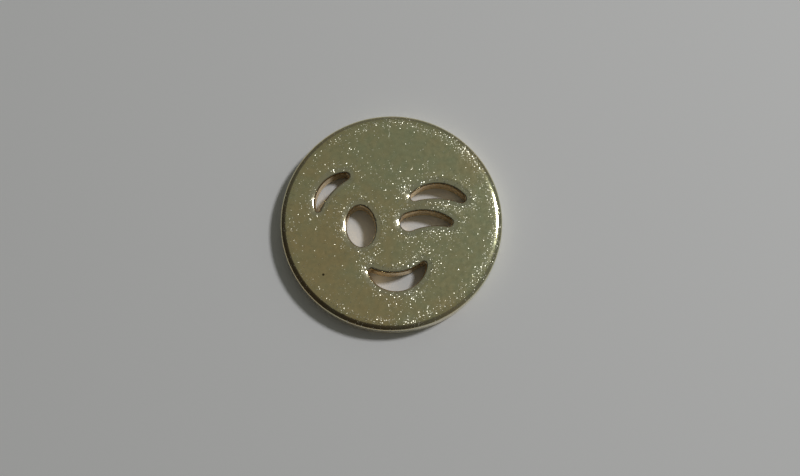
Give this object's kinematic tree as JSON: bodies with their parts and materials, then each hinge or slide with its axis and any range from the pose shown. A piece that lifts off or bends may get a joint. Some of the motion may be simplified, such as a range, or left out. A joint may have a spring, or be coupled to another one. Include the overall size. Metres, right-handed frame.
{
  "type": "transit token",
  "caption": "Pierced round fare token whose openings make a winking face, for coin-slot fare and parking machines.",
  "frame": {"origin": "centre of the back face, the face it lies on", "axes": "+Z out of the front face along the disc's axis, +Y towards the top of the face, +X to the viewer's right"},
  "size_m": [0.0232, 0.0232, 0.0023],
  "materials": {
    "yellow_metal": "tumbled plated brass: bright skin with fine pits and glints, rounded edges"
  },
  "bodies": {
    "root": {"token_disc": "yellow_metal"}
  },
  "joints": []
}
